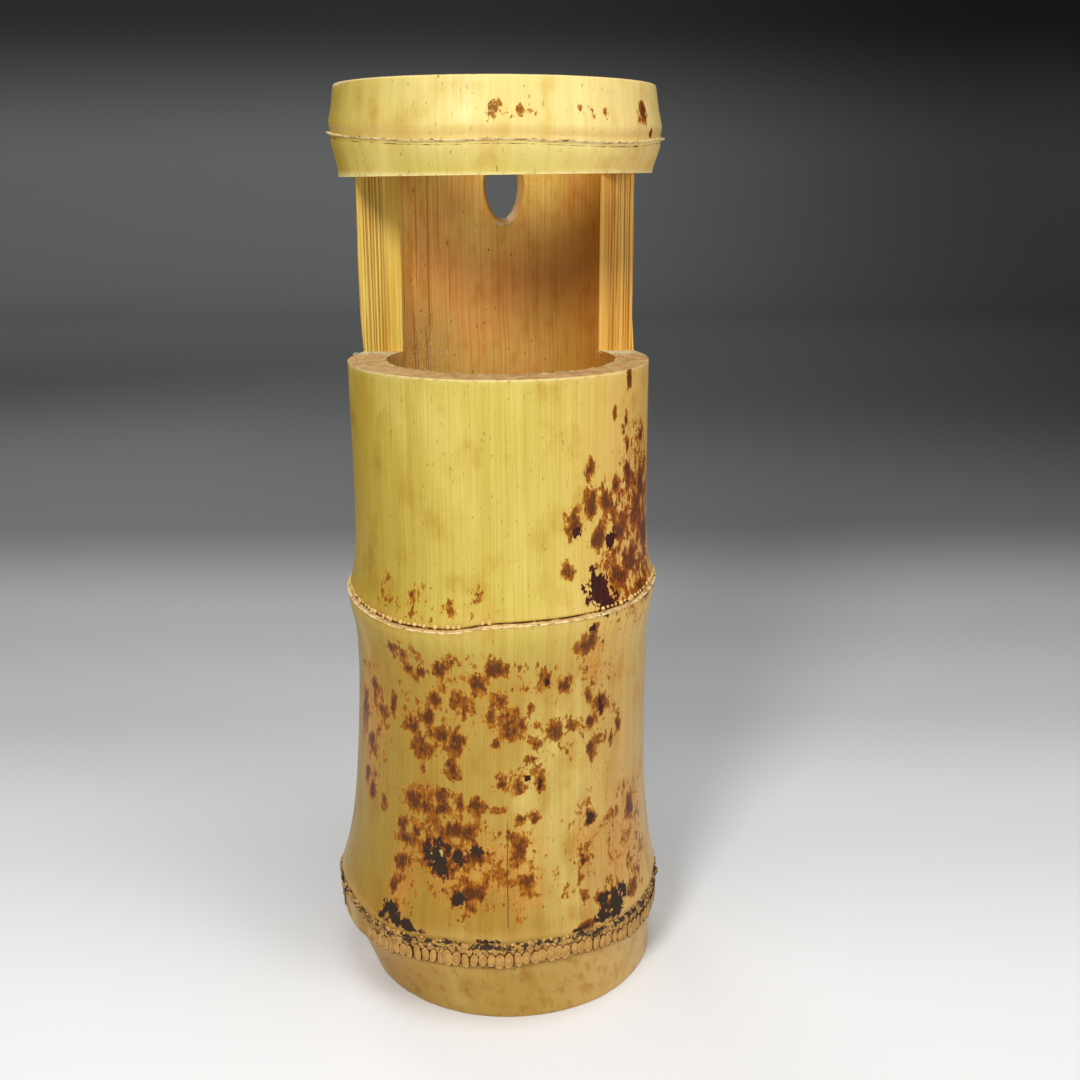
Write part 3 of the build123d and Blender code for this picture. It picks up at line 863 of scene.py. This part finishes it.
# Marks on the skin: angle, height, half width and half height.
stain_marks = (
    # On the ring.
    (57, 319.5, 2.6, 2.9), (63, 314, 1, 1.5),
    # Down the right of the upper stretch.
    (55, 234, 1.5, 3.5), (46, 223, 1, 2), (53, 220, 1, 2), (67, 214, 2.5, 4), (54, 211, 1, 2),
    (54, 201, 2.5, 5), (34, 205, 1.5, 3.5), (47, 198, 2.5, 3), (42, 193, 3, 4), (34, 193, 2.5, 4),
    (27, 187, 3, 4), (38, 180, 3, 4), (66, 195, 4, 6), (61, 187, 4, 6), (50, 183, 4, 5),
    (72, 175, 5, 8), (56, 169, 5, 5), (48, 165, 5, 4), (62, 158, 5, 3), (24, 171, 2.5, 3),
    # Under the middle node.
    (-39, 139, 2.5, 3), (-44, 141, 2.5, 2), (-36, 135, 2, 2), (-31, 134, 3, 2), (-23, 136, 3, 2.5),
    (-19, 140, 1.5, 2), (-2, 138, 4, 3), (-9, 132, 3, 3.5), (-2, 127, 3, 3), (-15, 124, 3.5, 4.5),
    (-25, 124, 3, 3), (-28, 118, 2.5, 4), (31, 143, 3.5, 4.5), (34, 150, 1.5, 2), (15, 133, 2.5, 3),
    (23, 130, 2, 2), (33, 124, 1.5, 2.5), (39, 119, 3.5, 3.5), (34, 114, 3, 2.5),
    # The middle of the lower stretch.
    (-36, 112, 4, 3), (-31, 105, 4, 4), (-24, 112, 3.5, 3.5), (-17, 110, 2.5, 5), (-18, 99, 3, 3),
    (3, 117, 3.5, 5.5), (-4, 121, 1.5, 4), (10, 123, 1.5, 2), (19, 114, 2.5, 3.5), (26, 114, 2, 2),
    (49, 110, 1.5, 3.5), (45, 106, 1, 3), (35, 104, 2, 4), (12, 109, 1.5, 2), (-2, 110, 1.5, 2),
    (10, 104, 2, 1.5), (6, 94, 3, 3), (14, 94, 2, 2.5), (0, 95, 1.5, 1.5), (-31, 97, 1, 2),
    # Long streaks on the left.
    (-45, 120, 1.5, 5), (-57, 121, 2, 5), (-67, 110, 3, 8), (-59, 100, 2.5, 4), (-51, 112, 2.5, 5),
    (-50, 80, 1.5, 4), (-63, 85, 2, 4), (-58, 81, 2.5, 4),
    # The dark group low on the left.
    (-34, 85, 4.5, 4), (-29, 83, 4, 2.5), (-23, 88, 3, 3), (-22, 84, 4.5, 2.5), (-15, 87, 1.5, 3),
    (-10, 86, 3, 3), (-1, 85, 2, 1.5), (-39, 74, 2.5, 2.5), (-37, 69, 4, 2), (-33, 73, 2, 2),
    (-24, 66, 5.5, 8), (-17, 76, 7, 3), (-19, 62, 4, 3.5), (-15, 68, 2.5, 3), (-9, 67, 4.5, 2.5),
    (-38, 60, 3, 3.5), (-41, 50, 1.5, 3.5), (-39, 43, 1.5, 2.5), (-10, 54, 5.5, 3.5), (-14, 58, 2, 2),
    (-9, 48, 2, 2),
    # Right of the crack, and round to the dark corner.
    (6, 70, 3, 7), (9, 58, 3, 3), (7, 81, 2, 2), (12, 82, 2, 2), (35, 77, 2, 2.5), (31, 61, 2, 2.5),
    (30, 55, 1.5, 2), (31, 48, 2, 2), (39, 45, 3, 2), (42, 41, 4, 2.5), (32, 37, 3, 1.5),
    (56, 42, 3, 3), (58, 73, 3, 4), (49, 75, 1, 2.5),
    # Made up on the back.
    (100, 196, 4, 7), (112, 182, 3, 6), (94, 168, 4, 4), (128, 205, 2, 4), (150, 172, 3, 4),
    (105, 120, 3, 6), (118, 108, 4, 4), (126, 96, 3, 5), (140, 88, 5, 4), (135, 74, 4, 5),
    (98, 84, 2, 5), (165, 118, 3, 4), (178, 132, 2, 3), (-170, 96, 4, 6), (-160, 84, 3, 4),
    (-150, 104, 3, 3), (-128, 76, 4, 6), (-118, 66, 3, 5), (-108, 92, 2, 5), (-92, 100, 2, 6),
    (-140, 166, 3, 3), (-165, 224, 2, 4), (170, 64, 4, 4), (155, 320, 2, 1.5), (-120, 319, 2, 2),
)
# Where the skin is only broken into flecks: angle, height, half width, half height and strength.
broken_marks = (
    # On the ring, and low on the left of the upper stretch.
    (0, 320, 3.5, 2.5, 0.44), (8, 319, 5, 1.4, 0.43), (30, 320, 2.5, 2.2, 0.47),
    (38, 319, 1.5, 2, 0.48), (-47, 162, 4, 4.5, 0.5), (-34, 159, 2.5, 4.5, 0.5),
    (-20, 158, 2.5, 3.5, 0.52), (-10, 165, 2.5, 4, 0.46),
    # On the lower stretch and down the right.
    (64, 182, 13, 26, 0.53), (50, 178, 9, 22, 0.52), (36, 190, 6, 12, 0.43), (40, 166, 6, 6, 0.46),
    (56, 206, 6, 14, 0.43), (-28, 122, 14, 16, 0.41), (-28, 112, 9, 9, 0.5), (-18, 126, 9, 8, 0.48),
    (-6, 138, 14, 5, 0.46), (-38, 138, 8, 6, 0.45), (34, 132, 7, 12, 0.42), (8, 96, 9, 5, 0.45),
    (38, 114, 8, 8, 0.44), (-60, 108, 9, 22, 0.45), (20, 120, 26, 16, 0.34), (-28, 84, 12, 7, 0.5),
    (-24, 76, 14, 8, 0.46), (-10, 58, 13, 12, 0.49), (7, 62, 4, 15, 0.49), (-20, 70, 10, 8, 0.5),
    (-36, 50, 6, 12, 0.42), (34, 74, 8, 12, 0.4), (36, 52, 8, 10, 0.4), (56, 62, 11, 20, 0.44),
    (0, 62, 36, 14, 0.33), (-30, 160, 22, 6, 0.35), (108, 186, 14, 20, 0.46), (128, 92, 14, 18, 0.45),
    (-122, 78, 12, 18, 0.45), (-160, 92, 12, 14, 0.43),
)
# Charred places, chips that show the bare skin, and flushes: as the stains.
char_marks = (
    (38, 162, 5.5, 5.5), (35, 167, 1.5, 3.5), (41, 157, 5, 3), (28, 184, 1.5, 2), (44, 179, 2.5, 3),
    (33, 150, 1.5, 1.5), (-24, 66, 4, 6), (-21, 60, 2, 4), (-15, 67, 2, 3), (-9, 69, 3, 1.5),
    (-14, 51, 2, 2.5), (9, 96, 1.5, 1.5), (14, 94, 1, 1.5), (39, 118, 1.5, 3), (40, 44, 2.5, 2),
    (45, 40, 5, 3.5), (41, 37.4, 6, 1.8), (28, 36.4, 3, 0.6), (50, 43, 2, 3), (31, 61, 1.5, 2),
    (35, 77, 1.5, 2), (-41, 41, 3, 3), (-37, 37.5, 6, 1.8), (-30, 36.6, 4, 0.8), (-3, 36.4, 4, 0.7),
    (16, 132, 1, 1.5), (132, 86, 3, 4), (-124, 70, 3, 4), (104, 190, 2, 4),
)
chip_marks = (
    (-22, 67, 0.9, 1.3), (-24.3, 69, 0.5, 0.6), (-20.4, 65.5, 0.4, 0.6), (-23, 71, 0.5, 0.4),
    (-25.5, 66, 0.4, 0.5), (-25, 63.5, 0.5, 0.5), (-24, 61, 0.4, 0.5), (-24, 58.5, 0.5, 0.5),
    (-23, 56, 0.4, 0.5),
)
flush_marks = (
    (64, 182, 18, 36), (48, 166, 10, 12), (36, 140, 7, 10), (-10, 62, 16, 13), (8, 64, 8, 18),
    (54, 62, 14, 24), (-38, 52, 6, 14), (34, 70, 7, 8), (-60, 110, 9, 26), (120, 90, 26, 30),
    (-130, 80, 24, 26), (110, 185, 22, 26),
)
# Bands of another tone round the culm: height, half height and strength.
dull_bands = ((314.2, 1.5, 1.0), (38, 2, 0.5), (149.5, 1.6, 0.5), (155.5, 1.5, 0.4), (22, 3, 0.3))
# The grime bands are grime and painted shade in the grooves by the lips and under the lowest roots.
grime_and_shade_bands = ((152.7, 0.5, 0.85), (25.7, 0.4, 0.7), (310.5, 0.35, 0.6))
root_bed_bands = ((30, 4, 1.0),)


def marked(angle, height, marks, spread=1.0):
    """How far inside a mark each place is: 1 at its middle and a half at its edge."""
    depth = np.zeros_like(angle)
    for mark_angle, mark_height, half_width, half_height in marks:
        away = (angle - mark_angle + half_turn) % full_turn - half_turn
        across = np.radians(away) * waist_radius / half_width / spread
        up = (height - mark_height) / half_height / spread
        depth = np.maximum(depth, 1 - 0.5 * np.hypot(across, up))
    return depth


def banded(height, bands):
    """The strength of the band that each height lies in."""
    value = np.zeros_like(height)
    for middle, half, strength in bands:
        value = np.maximum(value, strength * hump(height, middle, half))
    return value


def broken(angle, height, marks):
    """How thickly the flecks lie at each place."""
    strength = np.zeros_like(angle)
    for *mark, most in marks:
        strength = np.maximum(strength, most * np.minimum(2 * marked(angle, height, [mark]), 1))
    return strength


stain_spread = 1.25  # stains are drawn this much larger than their marks
sunk_angle = -62  # the cut roots are worn away round here
sunk_reach = 16
edge_reach = 0.7  # how far the pale edge of a saw cut, worn and with a painted highlight, reaches
corner_across = 45  # where the sill's corners are torn
corner_back = 15
corner_reach = 9
sill_depth = 1  # points this close to the sill's height are on it
settling_rounds = 8  # the straight culm's heights are closed in on in this many rounds

points = places(culm)
x, y, z = points.T
skin_angle = np.degrees(np.arctan2(x - read(lean_points, z), -y))
unshifted = z
for number in range(settling_rounds):
    unshifted = z - node_shift(skin_angle, unshifted)
paint_ground(culm, "along_culm", at_angle(skin_angle, waist_radius, unshifted))
stained = marked(skin_angle, z, stain_marks, stain_spread)
paint(culm, "stain", np.maximum(stained, broken(skin_angle, z, broken_marks)))
for name, marks in (("char", char_marks), ("flush", flush_marks), ("chip", chip_marks)):
    paint(culm, name, marked(skin_angle, z, marks))
paint(culm, "band", banded(unshifted, dull_bands))
# Grime and painted shade in the grooves.
paint(culm, "grime_and_shade", banded(unshifted, grime_and_shade_bands))
rooted = 1 - hump(skin_angle, sunk_angle, sunk_reach)
paint(culm, "root_bed", banded(unshifted, root_bed_bands) * rooted)
# The pale edges of the saw cuts: wear, and a painted highlight where a rounded edge would catch the
# light.
window_top = ring_underside + x * math.tan(math.radians(ring_cut_tilt))
from_cut = np.minimum(abs(z - sill), abs(z - window_top))
worn_edge_and_highlight = hump(from_cut, 0, edge_reach) * (y < window_back + edge_reach)
paint(culm, "edge", np.maximum(worn_edge_and_highlight, z > vase_height - edge_reach))
from_corner = np.hypot(abs(x) - corner_across, y - corner_back)
paint(culm, "torn", hump(from_corner, 0, corner_reach) * (abs(z - sill) < sill_depth))


# The lips of the sheath scars: rings with an oval section that is rooted in the culm.
scar_columns = 360
scar_sides = 10
lip_root = 2  # a lip's section reaches this far into the culm
lip_lift_share = 0.3  # a lip turns up by this share of how far it stands out
swelling_share = 0.4  # where a lip stands out further it is taller, by this share
fine_rag_size = 2.2
broad_rag_size = 6
lip_rise_size = 7
scar_crease = 60


def scar(name, material, height, out, tall, ragged, seed):
    """A lip round a node: how far out and how tall it is, and how ragged, in millimetres."""
    angle = np.arange(scar_columns) * full_turn / scar_columns
    round_section = np.arange(scar_sides) * 2 * math.pi / scar_sides
    angle, around = np.meshgrid(angle, round_section, indexing="ij")
    wobble = grown_round(angle, seed, fine_rag_size, ragged)
    wobble += grown_round(angle, seed + 5, broad_rag_size, ragged)
    rise = grown_round(angle, seed + 9, lip_rise_size, ragged / 2)
    outward = np.cos(around) * np.where(np.cos(around) > 0, out + wobble, lip_root)
    up = np.sin(around) * tall / 2 * (1 + wobble / out * swelling_share) + rise
    lip = at_angle(angle, outward, up + np.maximum(outward, 0) * lip_lift_share)
    piece = closed_ring(name, on_skin(angle, np.full(angle.shape, float(height))) + lip)
    dress(piece, material, crease=scar_crease)
    return piece


base_scar = scar("base_scar", crust_material, height=34.5, out=0.8, tall=1.5, ragged=0.95, seed=3)
middle_scar = scar("middle_scar", scar_material, height=151.6, out=0.75, tall=0.8, ragged=0.2, seed=13)
top_scar = scar("top_scar", scar_material, height=311.7, out=1.1, tall=0.75, ragged=0.4, seed=23)


# Roots cut off flush round the lowest node, in two staggered rows.
root_sides = 14
root_count = 126
root_depth = 3.2
inner_share = 0.9  # a root's face is flat this far out, and a row of points runs round it there
edge_drop = 0.1
sunk_depth = 0.8
root_crease = 40

# Each root strays from its place and from its size, between these.
root_angles = (-0.45, 0.45)
root_heights = (-0.6, 0.5)
root_outs = (-0.15, 0.15)
root_width_shares = (0.8, 1.2)
root_tall_shares = (0.78, 1.14)
root_leans = (-0.2, 0.2)  # in radians


def root_model():
    """One cut root of width, depth and height 1, facing the front."""
    lying = (math.pi / 2, 0, 0)
    bpy.ops.mesh.primitive_cylinder_add(vertices=root_sides, radius=0.5, depth=1, rotation=lying)
    model = bpy.context.object
    bpy.ops.object.transform_apply(location=False, rotation=True, scale=False)
    for face in model.data.polygons:
        face.select = face.normal.y < -forwards_share
    for part in (*model.data.edges, *model.data.vertices):
        part.select = False
    bpy.ops.object.mode_set(mode="EDIT")
    bpy.ops.mesh.select_mode(type="FACE")
    bpy.ops.mesh.inset(thickness=(1 - inner_share) / 2)
    bpy.ops.mesh.poke()
    bpy.ops.object.mode_set(mode="OBJECT")
    points = np.array([vertex.co for vertex in model.data.vertices])
    share = np.hypot(points[:, 0], points[:, 2]) * 2
    at_front = points[:, 1] < 0
    at_edge = share > (inner_share + 1) / 2
    points[at_front & at_edge, 1] += edge_drop / root_depth
    model.data.vertices.foreach_set("co", points.ravel())
    paint(model, "from_middle", np.where(at_front, share, 1.0))
    return model


def root_row(name, middle, width, tall, out, half_step, seed):
    """A row of cut roots all round the culm, each a little different."""
    chance = random.Random(seed)
    matrices = []
    for number in range(root_count):
        angle = (number + half_step) * full_turn / root_count + chance.uniform(*root_angles)
        height = middle + chance.uniform(*root_heights)
        sunk = sunk_depth * float(hump(angle - full_turn, sunk_angle, sunk_reach))
        proud = out - sunk + chance.uniform(*root_outs)
        wide = width * chance.uniform(*root_width_shares)
        high = tall * chance.uniform(*root_tall_shares)
        leaning = Matrix.Rotation(chance.uniform(*root_leans), 4, "Y")
        turned = Matrix.Rotation(math.radians(angle), 4, "Z") @ leaning
        centre = Vector(on_skin(angle, height, proud - root_depth / 2))
        size = Matrix.Diagonal((wide, root_depth, high, 1))
        matrices.append(Matrix.Translation(centre) @ turned @ size)
    return strewn(name, root_model(), matrices, cut_root_material, root_crease)


lower_roots = root_row("lower_roots", middle=28.9, width=3.45, tall=6.7, out=0.6, half_step=0, seed=41)
upper_roots = root_row("upper_roots", middle=33.1, width=3.2, tall=4.8, out=0.3, half_step=0.5, seed=43)


# Root buds: beads that never grew into roots, in arcs round the middle node and all round the base.
middle_bud_arcs = ((-132, -13), (-7, -4), (35, 150), (165, 190))
all_round = ((-half_turn, half_turn),)
bud_crease = 80

# Each bead strays in its size and its distance from the last one, by shares between these.
bud_size_shares = (0.55, 1.15)
bud_out_shares = (0, 0.25)
bud_tall_shares = (0.8, 1.15)
bud_pitch_shares = (0.75, 1.3)
bud_depth_share = 0.8


def buds(name, material, arcs, height, pitch, size, scatter, seed):
    """Beads along arcs of the culm, given as the angles from and to."""
    chance = random.Random(seed)
    matrices = []
    for start, end in arcs:
        angle = start
        while angle < end:
            wide = size * chance.uniform(*bud_size_shares)
            up = height + chance.uniform(-scatter, scatter)
            centre = Vector(on_skin(angle, up, wide * chance.uniform(*bud_out_shares)))
            tall = wide * chance.uniform(*bud_tall_shares)
            bead = Matrix.Diagonal((wide, wide * bud_depth_share, tall, 1))
            turned = Matrix.Rotation(math.radians(angle), 4, "Z")
            matrices.append(Matrix.Translation(centre) @ turned @ bead)
            angle += pitch * chance.uniform(*bud_pitch_shares)
    bpy.ops.mesh.primitive_uv_sphere_add(segments=9, ring_count=6, radius=0.5)
    return strewn(name, bpy.context.object, matrices, material, bud_crease)


middle_buds = buds(
    "middle_buds", bud_material, middle_bud_arcs,
    height=153.6, pitch=2.2, size=1.75, scatter=0.15, seed=51,
)
base_buds = buds(
    "base_buds", bud_material, all_round, height=34.8, pitch=1.3, size=1.9, scatter=1.3, seed=53
)
base_crumbs = buds(
    "base_crumbs", crust_material, all_round, height=34.5, pitch=0.8, size=1.9, scatter=1.4, seed=57
)


# Fibres torn up by the saw, at the corners and inner edge of the sill and at the nail hole.
fibre_sides = 5
fibre_length = 2.4
fibre_width = 0.5
fibre_crease = 50
fibre_length_shares = (0.35, 1.1)
fibre_width_shares = (0.6, 1.3)
fibre_depth_share = 0.7
fibre_tilts = (55, 92)
corner_fibres = 26
corner_fibre_back = 15.5
corner_scatter = 3.2
corner_forward_scatter = 3.5
edge_fibres = 44
edge_angles = (-98, 98)
edge_inset = 0.3
edge_scatter = 0.8
hole_fibres = 16
hole_turns = (-0.45, 0.6)  # in radians
hole_inset = 0.4
hole_scatter = 0.8


def torn_places(chance):
    """Where the torn fibres lie, in millimetres."""
    spots = []
    for side in (-1, 1):
        for number in range(corner_fibres):
            across = corner_across + chance.gauss(0, corner_scatter)
            back = corner_fibre_back - abs(chance.gauss(0, corner_forward_scatter))
            spots.append((bore_offset + side * across, back, sill))
    for number in range(edge_fibres):
        turn = math.radians(chance.uniform(*edge_angles))
        reach = upper_bore + abs(chance.gauss(edge_inset, edge_scatter))
        spots.append((bore_offset + reach * math.sin(turn), -reach * math.cos(turn), sill))
    shift, half_width, drop = hole_rings[1][1:4]
    for number in range(hole_fibres):
        turn = chance.uniform(*hole_turns)
        low = nail_hole_height - drop * math.cos(turn) - chance.uniform(0, hole_scatter)
        spots.append((shift + half_width * math.sin(turn), upper_bore - hole_inset, low))
    return spots


def torn_fibres(name, seed):
    """Slivers that lie nearly flat, pointing every way."""
    chance = random.Random(seed)
    matrices = []
    for spot in torn_places(chance):
        length = fibre_length * chance.uniform(*fibre_length_shares)
        width = fibre_width * chance.uniform(*fibre_width_shares)
        turned = Matrix.Rotation(chance.uniform(0, 2 * math.pi), 4, "Z")
        tilted = Matrix.Rotation(math.radians(chance.uniform(*fibre_tilts)), 4, "X")
        size = Matrix.Diagonal((width, width * fibre_depth_share, length, 1))
        matrices.append(Matrix.Translation(spot) @ turned @ tilted @ size)
    bpy.ops.mesh.primitive_cone_add(vertices=fibre_sides, radius1=0.5, radius2=0.12, depth=1)
    return strewn(name, bpy.context.object, matrices, torn_fibre_material, fibre_crease)


torn = torn_fibres("torn_fibres", seed=71)


# What is left of the partitions at the two upper nodes.
ledge_columns = 180
ledge_crease = 40
let_in = 0.3  # how far a ledge reaches into the wall
rough_cut = {"size": 2.5, "amount": 1.2}


def ledge(name, top, outer, opening, seed):
    """A narrow ledge with a roughly cut inner edge."""
    section = (  # radius, and how far below the top
        (outer, -partition_thickness), (outer, -1.7), (outer, 0), (outer - 2, 0),
        (opening + 0.8, -0.1), (opening, -0.8), (opening, -2.8), (opening + 0.8, -partition_thickness),
    )
    radius, up = np.array(section).T
    angle = np.arange(ledge_columns)[:, None] * full_turn / ledge_columns
    radius = radius + abs(grown_round(angle, seed, **rough_cut)) * (radius < outer - 2)
    piece = closed_ring(name, at_angle(angle, radius, top + up) + (bore_offset, 0, 0))
    dress(piece, partition_material, crease=ledge_crease)
    return piece


middle_ledge = ledge("middle_ledge", middle_node, upper_bore + let_in, middle_opening, seed=61)
top_ledge = ledge("top_ledge", top_node, mouth_bore + let_in, top_opening, seed=67)


# What each piece stands for, what carries it, and the slot its finish belongs to.
for piece, node, slot in (
    (culm, "culm_wall", "bamboo"),
    (base_scar, "base_sheath_scar", "sheath_scar"),
    (middle_scar, "middle_sheath_scar", "sheath_scar"),
    (top_scar, "top_sheath_scar", "sheath_scar"),
    (lower_roots, "root_stubs_lower", "root_stub"),
    (upper_roots, "root_stubs_upper", "root_stub"),
    (middle_buds, None, "root_stub"),
    (base_buds, None, "root_stub"),
    (base_crumbs, None, "root_stub"),
    (torn, None, "bamboo"),
    (middle_ledge, "middle_partition_ledge", "partition"),
    (top_ledge, "top_partition_ledge", "partition"),
):
    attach(piece, "vase")
    if node:
        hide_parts(node)

for node, material in (
    ("floor_partition", partition_material),
    ("liner_tube", copper_material),
    ("liner_floor", copper_material),
    ("liner_rim_wire", copper_material),
    ("liner_lap_seam", solder_material),
):
    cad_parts[node].data.materials.clear()
    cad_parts[node].data.materials.append(material)


# The floor sweeps up into a backdrop, with painted shade that darkens it away from the vase.
sweep_front = -2600
sweep_back = 2500
sweep_bend = 900
sweep_top = 2400
sweep_half_width = 6500
sweep_columns = 40
sweep_rows = 120
sweep_crease = 60

# Painted shade: the floor's grey at each distance behind the vase, and the tones up the wall and to the
# right.
floor_shade_tones = (
    (-200, 240), (-60, 238), (97, 222), (246, 198), (391, 186), (667, 128), (1173, 128), (2400, 182),
)
wall_low = 330
wall_high = 760
wall_shade_tone = tone(84, 88, 86)
right_start = -375
right_end = 1500
right_near = 250
right_far = 1200
right_shade_tone = tone(150, 152, 150)


def grey(level):
    """A tone without colour, from 0 to 255."""
    return tone(level, level, level)


def stage_finish():
    """White paper, with painted shade that greys it behind the vase, up the wall and to the right."""
    paper = Finish("floor_paper", Roughness=0.85, Specular_IOR_Level=0.2)
    back = paper.place("Y")
    paper.colour = grey(floor_shade_tones[0][1])
    for (near, _), (far, far_level) in zip(floor_shade_tones, floor_shade_tones[1:]):
        paper.cover(grey(far_level), paper.steps(back, near, far))
    paper.cover(wall_shade_tone, paper.steps(paper.place("Z"), wall_low, wall_high))
    to_right = paper.steps(paper.place("X"), right_start, right_end)
    paper.darken(right_shade_tone, to_right, paper.steps(back, right_near, right_far))
    paper.to("Base Color", paper.colour)
    return paper.material


floor, across, along = grid("floor", sweep_columns, sweep_rows)
bend_length = sweep_bend * math.pi / 2
along = along * (sweep_back - sweep_front + bend_length + sweep_top) + sweep_front
in_bend = np.clip((along - sweep_back) / sweep_bend, 0, math.pi / 2)
past = np.maximum(along - sweep_back - bend_length, 0)
sideways = (across * 2 - 1) * sweep_half_width
backwards = np.minimum(along, sweep_back) + sweep_bend * np.sin(in_bend)
upwards = sweep_bend * (1 - np.cos(in_bend)) + past
place(floor, np.stack([sideways, backwards, upwards], axis=-1))
dress(floor, stage_finish(), crease=sweep_crease)


# Soft studio light: a lamp on the left whose light reaches the back of the hollow under the ring,
# a wide weaker one on the right, one overhead, a weak one behind and an even room.
room_tone = tone(235, 238, 240)
room_strength = 0.22


def lamp(name, location, target_height, size, energy):
    """A round lamp that is turned to a height on the culm's axis."""
    direction = Vector((0, 0, target_height)) - Vector(location)
    bpy.ops.object.light_add(
        type="AREA",
        location=Vector(location) * mm,
        rotation=direction.to_track_quat("-Z", "Y").to_euler(),
    )
    light = bpy.context.object
    light.name = name
    light.data.shape = "DISK"
    light.data.size = size * mm
    light.data.energy = energy
    light.visible_camera = False


lamp("key_lamp", (-393, -973, 832), target_height=250, size=300, energy=10.4)
lamp("fill_lamp", (874, -734, 521), target_height=150, size=600, energy=4.7)
lamp("top_lamp", (100, -250, 1450), target_height=150, size=800, energy=7)
lamp("back_lamp", (-550, 1050, 850), target_height=150, size=700, energy=3.2)
world = bpy.data.worlds.new("room")
world.use_nodes = True
background = world.node_tree.nodes["Background"]
background.inputs["Color"].default_value = room_tone
background.inputs["Strength"].default_value = room_strength
bpy.context.scene.world = world
